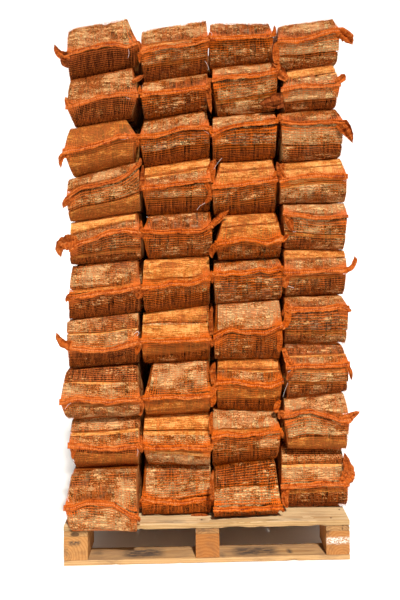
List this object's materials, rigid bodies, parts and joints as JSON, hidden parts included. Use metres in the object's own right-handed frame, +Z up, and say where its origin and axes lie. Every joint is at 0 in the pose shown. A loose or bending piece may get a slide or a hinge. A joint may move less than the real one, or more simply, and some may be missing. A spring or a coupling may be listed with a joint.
{
  "type": "pallet of firewood sacks",
  "caption": "Timber block pallet carrying a tall, slightly uneven stack of orange net sacks filled with split firewood logs, sewn ends facing outwards.",
  "frame": {"origin": "centre of the load's footprint, at floor level under the pallet's middle bottom board", "axes": "+X along the pallet's long side to the right as seen from the front, +Y from the front row of sacks to the rear row, +Z up"},
  "size_m": [1.23, 1.04, 2.3023],
  "materials": {
    "deck_timber": "sawn pale pine, dry",
    "block_timber": "sawn pine with end grain, dry",
    "bottom_timber": "sawn pine, stained and worn",
    "sack_net": "fine knitted plastic net over firewood, semi-matte",
    "firewood": "split logs with bark, rough"
  },
  "bodies": {
    "root": {"deck_board_1": "deck_timber", "deck_board_2": "deck_timber", "deck_board_3": "deck_timber", "deck_board_4": "deck_timber", "deck_board_5": "deck_timber", "stringer_board_1": "block_timber", "stringer_board_2": "block_timber", "stringer_board_3": "block_timber", "block_1_1": "block_timber", "block_1_2": "block_timber", "block_1_3": "block_timber", "block_2_1": "block_timber", "block_2_2": "block_timber", "block_2_3": "block_timber", "block_3_1": "block_timber", "block_3_2": "block_timber", "block_3_3": "block_timber", "bottom_board_1": "bottom_timber", "bottom_board_2": "bottom_timber", "bottom_board_3": "bottom_timber", "sacks_layer_01_column_1": "sack_net", "sacks_layer_01_column_2": "sack_net", "sacks_layer_01_column_3": "sack_net", "sacks_layer_01_column_4": "sack_net", "sacks_layer_02_column_1": "sack_net", "sacks_layer_02_column_2": "sack_net", "sacks_layer_02_column_3": "sack_net", "sacks_layer_02_column_4": "sack_net", "sacks_layer_03_column_1": "sack_net", "sacks_layer_03_column_2": "sack_net", "sacks_layer_03_column_3": "sack_net", "sacks_layer_03_column_4": "sack_net", "sacks_layer_04_column_1": "sack_net", "sacks_layer_04_column_2": "sack_net", "sacks_layer_04_column_3": "sack_net", "sacks_layer_04_column_4": "sack_net", "sacks_layer_05_column_1": "sack_net", "sacks_layer_05_column_2": "sack_net", "sacks_layer_05_column_3": "sack_net", "sacks_layer_05_column_4": "sack_net", "sacks_layer_06_column_1": "sack_net", "sacks_layer_06_column_2": "sack_net", "sacks_layer_06_column_3": "sack_net", "sacks_layer_06_column_4": "sack_net", "sacks_layer_07_column_1": "sack_net", "sacks_layer_07_column_2": "sack_net", "sacks_layer_07_column_3": "sack_net", "sacks_layer_07_column_4": "sack_net", "sacks_layer_08_column_1": "sack_net", "sacks_layer_08_column_2": "sack_net", "sacks_layer_08_column_3": "sack_net", "sacks_layer_08_column_4": "sack_net", "sacks_layer_09_column_1": "sack_net", "sacks_layer_09_column_2": "sack_net", "sacks_layer_09_column_3": "sack_net", "sacks_layer_09_column_4": "sack_net", "sacks_layer_10_column_1": "sack_net", "sacks_layer_10_column_2": "sack_net", "sacks_layer_10_column_3": "sack_net", "sacks_layer_10_column_4": "sack_net"}
  },
  "joints": []
}
